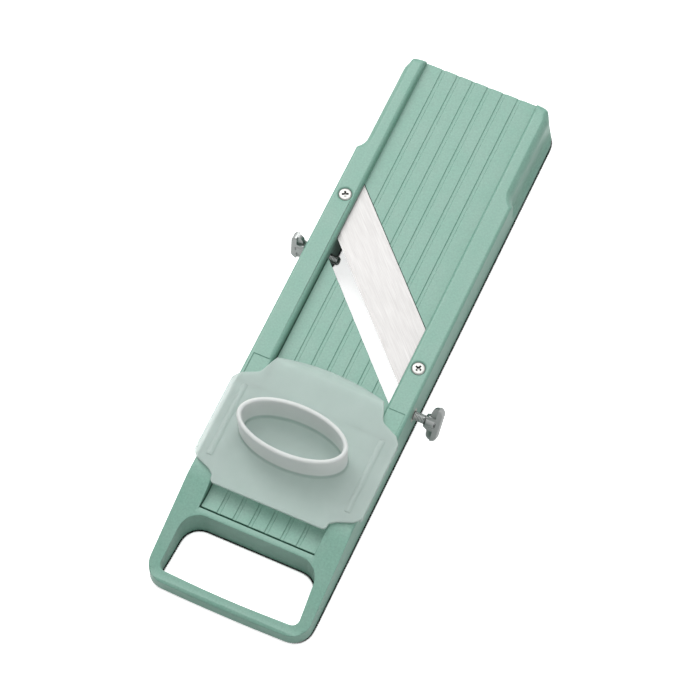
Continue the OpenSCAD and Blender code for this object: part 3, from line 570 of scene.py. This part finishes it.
def cross_recess(piece, place, across, width, depth, turn):
    """Cuts a cross recess into the piece's face at place, with walls that taper inwards."""
    foot_across, foot_width = 0.45, 0.7  # share of a slot's size that it keeps at its foot
    for quarter in (0, math.radians(90)):
        bpy.ops.object.select_all(action="DESELECT")
        bpy.ops.mesh.primitive_cube_add(size=1)
        slot = bpy.context.object
        for vertex in slot.data.vertices:
            x, y, z = vertex.co
            if z < 0:
                x, y = x * foot_across, y * foot_width
            vertex.co = (x * across, y * width, z * 2 * depth)
        spin = Matrix.Rotation(turn + quarter, 4, "Z")
        slot.data.transform(Matrix.Translation(place) @ spin)
        cut_with(piece, slot)


def along_x(piece, start, side):
    """Lays a piece that was turned along Z out from start along X, to one side."""
    lay = Matrix.Rotation(math.radians(90), 4, "Y")
    if side < 0:
        lay = Matrix.Rotation(math.radians(180), 4, "Z") @ lay
    piece.data.transform(Matrix.Translation(start) @ lay)


def bisect(piece, point, normal):
    """Cuts new edges all through a piece along a plane."""
    select_only(piece)
    bpy.ops.object.mode_set(mode="EDIT")
    bpy.ops.mesh.select_all(action="SELECT")
    bpy.ops.mesh.bisect(plane_co=point, plane_no=normal)
    bpy.ops.object.mode_set(mode="OBJECT")


def round_far_corners(piece, r, inset):
    """Rounds the body's far corners where the scoops leave them sharp.

    The rounding starts above the foot, where the corners keep their plan radius, and is
    full a little higher. New edges are cut first, so that the corners can bend.
    """
    foot, blend = 8 * MM, 6 * MM
    strips = 6
    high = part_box("frame")[1]
    side_x = high.x - inset
    plan_r = sizes().plan_corner
    for k in range(strips):
        out = k * r / strips
        bisect(piece, (0, high.y - r + out, 0), (0, 1, 0))
        for side in SIDES.values():
            bisect(piece, (side * (side_x - r + out), 0, 0), (1, 0, 0))
    for vertex in piece.data.vertices:
        u = abs(vertex.co.x) - (side_x - r)
        v = vertex.co.y - (high.y - r)
        rise = min(1, (vertex.co.z - foot) / blend)
        if u <= 0 or v <= 0 or rise <= 0:
            continue
        d = math.hypot(u, v)
        centre_u, centre_v = r + inset - plan_r, r - plan_r  # of the corner in plan
        ahead = (u * centre_u + v * centre_v) / d
        arc = ahead + math.sqrt(ahead ** 2 + plan_r ** 2 - centre_u ** 2 - centre_v ** 2)
        reach = min(r * d / u, r * d / v, arc)  # how far the body goes that way
        pull = 1 + rise * (min(1, r / reach) - 1)
        side = math.copysign(1, vertex.co.x)
        vertex.co.x = side * (side_x - r + u * pull)
        vertex.co.y = high.y - r + v * pull


def turn_of_wings(piece, middle):
    """The turn about X at which a head's two wings lie, from the spread of its points."""
    yy = yz = zz = 0.0
    for vertex in piece.data.vertices:
        y, z = vertex.co.y - middle.y, vertex.co.z - middle.z
        yy, yz, zz = yy + y * y, yz + y * z, zz + z * z
    return 0.5 * math.atan2(2 * yz, yy - zz)


def hollow_web(piece, face, side, wings):
    """Hollows both flat sides of a wing head's two wings, which leaves a rim along the end.

    face is the middle of the head's end, and wings is the turn at which the wings lie.
    """
    rim, hub_r, half_thick = 3.3 * MM, 3.8 * MM, 2.5 * MM
    deep, wide, high = 6 * MM, 13 * MM, 2.5 * MM  # a cutter's size, past the wing's outline
    floor = half_thick - sizes().web_in
    spin = Matrix.Translation(face) @ Matrix.Rotation(wings, 4, "X")
    for end in (-1, 1):
        for flat in (-1, 1):
            bpy.ops.object.select_all(action="DESELECT")
            bpy.ops.mesh.primitive_cube_add(size=1)
            cutter = bpy.context.object
            for vertex in cutter.data.vertices:
                x, y, z = vertex.co + Vector((0.5, 0.5, 0.5))
                vertex.co = (-side * (rim + x * deep), end * (hub_r + y * wide),
                             flat * (floor + z * high))
            cutter.data.transform(spin)
            if end * flat * side > 0:  # mirrored an odd number of times, so inside out
                cutter.data.flip_normals()
            cut_with(piece, cutter)


# Stage

def seen_by_eye(tree):
    """One for rays from the camera, for gloss and for what is seen through a clear wall."""
    path = add_node(tree, "LightPath")
    gloss = add_node(tree, "Math", links={0: path.outputs["Is Camera Ray"],
                                          1: path.outputs["Is Glossy Ray"]},
                     operation="MAXIMUM")
    both = add_node(tree, "Math", links={0: gloss.outputs["Value"],
                                         1: path.outputs["Is Transmission Ray"]},
                    operation="MAXIMUM")
    return both.outputs["Value"]


def add_floor():
    """A wide pale floor: white to the eye, but for the object's shadow and contact line."""
    settings = bpy.context.scene.slicer_stage
    contact, open_floor = 0.64, 0.76  # openness from which the floor turns from dark to white
    bpy.ops.object.select_all(action="DESELECT")
    bpy.ops.mesh.primitive_plane_add(size=6, location=(0, 0, CAD_LOW.z - 0.05 * MM))
    floor = bpy.context.object
    floor.name = "floor"
    material, tree, output = new_material("Paper floor")
    paper = add_node(tree, "BsdfDiffuse", {"Color": rgba(settings.floor)})
    near = add_node(tree, "AmbientOcclusion", {"Distance": settings.contact})
    dark = add_node(tree, "MapRange", {"From Min": contact, "From Max": open_floor},
                    {"Value": near.outputs["AO"]}, interpolation_type="SMOOTHSTEP")
    shown = add_node(tree, "BsdfDiffuse", links={"Color": dark.outputs["Result"]})
    eye = add_node(tree, "MapRange", {"To Min": settings.floor_gloss,
                                      "To Max": settings.floor_lift},
                   {"Value": add_node(tree, "LightPath").outputs["Is Camera Ray"]})
    glow = add_node(tree, "Math", links={0: dark.outputs["Result"], 1: eye.outputs["Result"]},
                    operation="MULTIPLY")
    lift = add_node(tree, "Emission", links={"Strength": glow.outputs["Value"]})
    white = add_node(tree, "AddShader", links={0: shown.outputs["BSDF"],
                                               1: lift.outputs["Emission"]})
    mix = add_node(tree, "MixShader", links={0: seen_by_eye(tree), 1: paper.outputs["BSDF"],
                                             2: white.outputs["Shader"]})
    tree.links.new(mix.outputs["Shader"], output.inputs["Surface"])
    floor.data.materials.append(material)


def add_surroundings():
    """A white room: even soft light on the object, plain white to the eye."""
    settings = bpy.context.scene.slicer_stage
    world = bpy.data.worlds.new("White room")
    bpy.context.scene.world = world
    world.use_nodes = True
    tree = world.node_tree
    tree.nodes.clear()
    white = (1, 1, 1, 1)
    soft = add_node(tree, "Background", {"Color": white, "Strength": settings.room_light})
    plain = add_node(tree, "Background", {"Color": white, "Strength": 1.0})
    mix = add_node(tree, "MixShader", links={0: seen_by_eye(tree),
                                             1: soft.outputs["Background"],
                                             2: plain.outputs["Background"]})
    add_node(tree, "OutputWorld", links={"Surface": mix.outputs["Shader"]})


def add_lamps():
    """A key lamp at the far left, a softbox that puts a sheen on level faces, and a fill."""
    settings = bpy.context.scene.slicer_stage
    for name, place, size, power in (
            ("Key lamp", (-1.24, 0.76, 1.3), 0.9, settings.key_power),
            ("Softbox", (-0.33, 0.69, 1.63), 1.4, settings.softbox_power),
            ("Fill lamp", (1.5, -0.5, 0.9), 1.0, settings.fill_power)):
        lamp = bpy.data.lights.new(name, "AREA")
        lamp.energy = power
        lamp.size = size
        holder = bpy.data.objects.new(name, lamp)
        bpy.context.scene.collection.objects.link(holder)
        holder.location = place
        holder.rotation_euler = (-Vector(place)).to_track_quat("-Z", "Y").to_euler()


def add_camera():
    """A long lens from above the handle end, a little to the right."""
    settings = bpy.context.scene.slicer_stage
    rise, swing, roll = settings.rise, settings.swing, settings.roll
    back = Vector((math.sin(swing) * math.cos(rise), -math.cos(swing) * math.cos(rise),
                   math.sin(rise)))
    right = Vector((math.cos(swing), math.sin(swing), 0))
    up = back.cross(right)
    level = Matrix((right, up, back)).transposed()
    turn = Matrix.Rotation(roll, 3, "Z")
    lens = bpy.data.cameras.new("Camera")
    lens.sensor_width = 36
    lens.lens = settings.lens
    lens.shift_x, lens.shift_y = settings.shift
    camera = bpy.data.objects.new("Camera", lens)
    bpy.context.scene.collection.objects.link(camera)
    camera.matrix_world = (Matrix.Translation(AIM + back * settings.distance)
                           @ (level @ turn).to_4x4())
    bpy.context.scene.camera = camera


# Operators, one for each piece or group of like pieces

class SLICER_OT_body(bpy.types.Operator):
    """Rounds the body's edges and far corners, and chamfers it round the blade screws"""

    bl_idname = "slicer.body"
    bl_label = "Body"

    def execute(self, context):
        piece = round_edges(copy_of("frame"), sizes().mould_edge)
        round_far_corners(piece, sizes().far_corner, sizes().scoop_in)
        for name in SIDES:
            low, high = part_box("blade_screw_" + name)
            middle = (low + high) / 2
            head_r = (high.x - low.x) / 2
            lead = sizes().lead_in
            countersink = turned([(-lead, 0), (-lead, head_r), (0, head_r + lead),
                                  (lead, head_r + lead), (lead, 0)])
            countersink.data.transform(Matrix.Translation((middle.x, middle.y, high.z)))
            cut_with(piece, countersink)
        shade(piece)
        place_piece(piece, "body_moulding", "frame")
        return {"FINISHED"}


class SLICER_OT_feed_plate(bpy.types.Operator):
    """Rounds the feed plate's edges"""

    bl_idname = "slicer.feed_plate"
    bl_label = "Feed plate"

    def execute(self, context):
        soft_copy("feed_plate", "feed_plate_moulding", sizes().mould_edge)
        return {"FINISHED"}


class SLICER_OT_finger_guard(bpy.types.Operator):
    """Rounds the sliding finger guard's edges"""

    bl_idname = "slicer.finger_guard"
    bl_label = "Finger guard"

    def execute(self, context):
        soft_copy("finger_guard", "finger_guard_moulding", sizes().guard_edge,
                  sharper_than=45)
        return {"FINISHED"}


class SLICER_OT_blade(bpy.types.Operator):
    """Finishes the blade, whose CAD shape stays"""

    bl_idname = "slicer.blade"
    bl_label = "Blade"

    def execute(self, context):
        coat(NODES["main_blade"], SLOT_OF["main_blade"])
        return {"FINISHED"}


class SLICER_OT_blade_screws(bpy.types.Operator):
    """Turns the two countersunk cross-head screws that hold the blade"""

    bl_idname = "slicer.blade_screws"
    bl_label = "Blade screws"

    def execute(self, context):
        for name, turn in (("left", sizes().left_cross), ("right", sizes().right_cross)):
            low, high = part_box("blade_screw_" + name)
            middle = (low + high) / 2
            head_r = (high.x - low.x) / 2
            shank_r = sizes().blade_screw_d / 2
            neck = high.z - (head_r - shank_r)
            rim = 0.6 * MM  # width of the head's rim, which falls steeply to its edge
            chamfer = 0.5 * MM
            piece = turned([
                (low.z, 0), (low.z, shank_r - chamfer), (low.z + chamfer, shank_r),
                (neck, shank_r), (high.z - 1.5 * rim, head_r), (high.z - 1.4 * rim, head_r),
                (high.z - 0.4 * rim, head_r - rim), (high.z - 0.15 * rim, head_r - 1.25 * rim),
                (high.z, 0.7 * head_r), (high.z, 0)],
                pitch=sizes().blade_pitch, depth=sizes().blade_thread,
                thread=(low.z + 0.2 * MM, neck - 1.5 * MM))
            piece.data.transform(Matrix.Translation((middle.x, middle.y, 0)))
            cross_recess(piece, (middle.x, middle.y, high.z), 1.3 * head_r, 0.34 * head_r,
                         0.42 * head_r, turn)
            bpy.ops.object.shade_smooth_by_angle(angle=math.radians(35))
            place_piece(piece, f"blade_screw_{name}_turned", "blade_screw_" + name)
        return {"FINISHED"}


class SLICER_OT_side_screws(bpy.types.Operator):
    """Turns the threaded side screws, and rounds and hollows their cast wing heads"""

    bl_idname = "slicer.side_screws"
    bl_label = "Side screws"

    def execute(self, context):
        for name, side in SIDES.items():
            low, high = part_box("side_screw_" + name)
            middle = (low + high) / 2
            r = (high.y - low.y) / 2
            span = high.x - low.x
            chamfer = 0.8 * MM
            piece = turned([(0, 0), (0, r - chamfer), (chamfer, r), (span, r), (span, 0)],
                           pitch=sizes().side_pitch, depth=sizes().side_thread,
                           thread=(0.3 * MM, span - 4 * MM))
            tip = low.x if side > 0 else high.x
            along_x(piece, (tip, middle.y, middle.z), side)
            place_piece(piece, f"side_screw_{name}_threaded", "side_screw_" + name)
            head = round_edges(copy_of("side_head_" + name), sizes().cast_edge,
                               segments=4, sharper_than=50)
            low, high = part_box("side_head_" + name)
            face = high.x if side > 0 else low.x
            hollow_web(head, Vector((face, middle.y, middle.z)), side,
                       turn_of_wings(head, middle))
            if side < 0:  # the left screw is seen with its wings upright
                axis = Matrix.Translation((0, middle.y, middle.z))
                head.data.transform(axis @ Matrix.Rotation(sizes().wing_turn, 4, "X")
                                    @ axis.inverted())
            shade(head)
            place_piece(head, f"wing_head_{name}_cast", "side_head_" + name)
        return {"FINISHED"}


class SLICER_OT_thumb_screw(bpy.types.Operator):
    """Turns the thumb screw, rounds its knob and riveted nut, and coats its clip"""

    bl_idname = "slicer.thumb_screw"
    bl_label = "Thumb screw"

    def execute(self, context):
        low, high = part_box("adjuster_screw")
        clip_low, clip_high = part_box("tip_clip")
        middle = (low + high) / 2
        head_r = (high.x - low.x) / 2
        r = sizes().adjuster_d / 2
        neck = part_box("adjuster_knob")[0].z + 1.6 * MM
        groove_r = r - 0.8 * MM
        chamfer = 0.8 * MM
        play = 0.05 * MM
        piece = turned([
            (low.z, 0), (low.z, head_r - 0.3 * MM), (low.z + 0.3 * MM, head_r),
            (neck, head_r), (neck, r), (clip_low.z - play, r), (clip_low.z - play, groove_r),
            (clip_high.z + play, groove_r), (clip_high.z + play, r), (high.z - chamfer, r),
            (high.z, r - chamfer), (high.z, 0)],
            pitch=sizes().adjuster_pitch, depth=sizes().adjuster_thread,
            thread=(neck + 1 * MM, clip_low.z - 0.6 * MM))
        piece.data.transform(Matrix.Translation((middle.x, middle.y, 0)))
        place_piece(piece, "thumb_screw_turned", "adjuster_screw")
        soft_copy("adjuster_knob", "thumb_screw_knob", 1.5 * sizes().mould_edge)
        soft_copy("adjuster_nut", "riveted_nut", sizes().steel_edge)
        coat(NODES["tip_clip"], SLOT_OF["tip_clip"])
        return {"FINISHED"}


class SLICER_OT_hardware(bpy.types.Operator):
    """Rounds the edges of the strap, its screws, the nuts, the bushes and the hinge pin"""

    bl_idname = "slicer.hardware"
    bl_label = "Hardware"

    def execute(self, context):
        names = ["bridge_strap", "hinge_pin"]
        names += [part + side for part in ("blade_nut_", "side_nut_", "bridge_screw_")
                  for side in SIDES]
        for name in names:
            soft_copy(name, name + "_finished", sizes().steel_edge)
        return {"FINISHED"}


class SLICER_OT_stage(bpy.types.Operator):
    """Sets the floor, the lamps, the surroundings and the camera"""

    bl_idname = "slicer.stage"
    bl_label = "Stage"

    def execute(self, context):
        add_floor()
        add_surroundings()
        add_lamps()
        add_camera()
        return {"FINISHED"}


# Panel and start

class SLICER_PT_panel(bpy.types.Panel):
    """Lists the slicer's operators and settings"""

    bl_idname = "SLICER_PT_panel"
    bl_label = "Mandoline slicer"
    bl_space_type = "VIEW_3D"
    bl_region_type = "UI"
    bl_category = "Slicer"

    def draw(self, context):
        layout = self.layout
        for operator in OPERATORS:
            layout.operator(operator.bl_idname)
        for group in (context.scene.slicer_colours, context.scene.slicer_sizes,
                      context.scene.slicer_stage):
            column = layout.column(align=True)
            for name in group.__annotations__:
                column.prop(group, name)


GROUPS = {"slicer_colours": SlicerColours, "slicer_sizes": SlicerSizes,
          "slicer_stage": SlicerStage}
OPERATORS = [SLICER_OT_body, SLICER_OT_feed_plate, SLICER_OT_finger_guard, SLICER_OT_blade,
             SLICER_OT_blade_screws, SLICER_OT_side_screws, SLICER_OT_thumb_screw,
             SLICER_OT_hardware, SLICER_OT_stage]


def register():
    """Registers the settings, the operators and the panel."""
    for group in GROUPS.values():
        bpy.utils.register_class(group)
    for name, group in GROUPS.items():
        setattr(bpy.types.Scene, name, bpy.props.PointerProperty(type=group))
    for item in [*OPERATORS, SLICER_PT_panel]:
        bpy.utils.register_class(item)


def unregister():
    """Takes back all that register added."""
    for item in [SLICER_PT_panel, *reversed(OPERATORS)]:
        bpy.utils.unregister_class(item)
    for name in GROUPS:
        delattr(bpy.types.Scene, name)
    for group in GROUPS.values():
        bpy.utils.unregister_class(group)


def main():
    """Dresses the slicer, piece by piece."""
    register()
    bpy.context.scene.view_settings.view_transform = "Standard"
    bpy.ops.slicer.stage()
    bpy.ops.slicer.body()
    bpy.ops.slicer.feed_plate()
    bpy.ops.slicer.finger_guard()
    bpy.ops.slicer.blade()
    bpy.ops.slicer.blade_screws()
    bpy.ops.slicer.side_screws()
    bpy.ops.slicer.thumb_screw()
    bpy.ops.slicer.hardware()


if __name__ == "__main__":
    main()
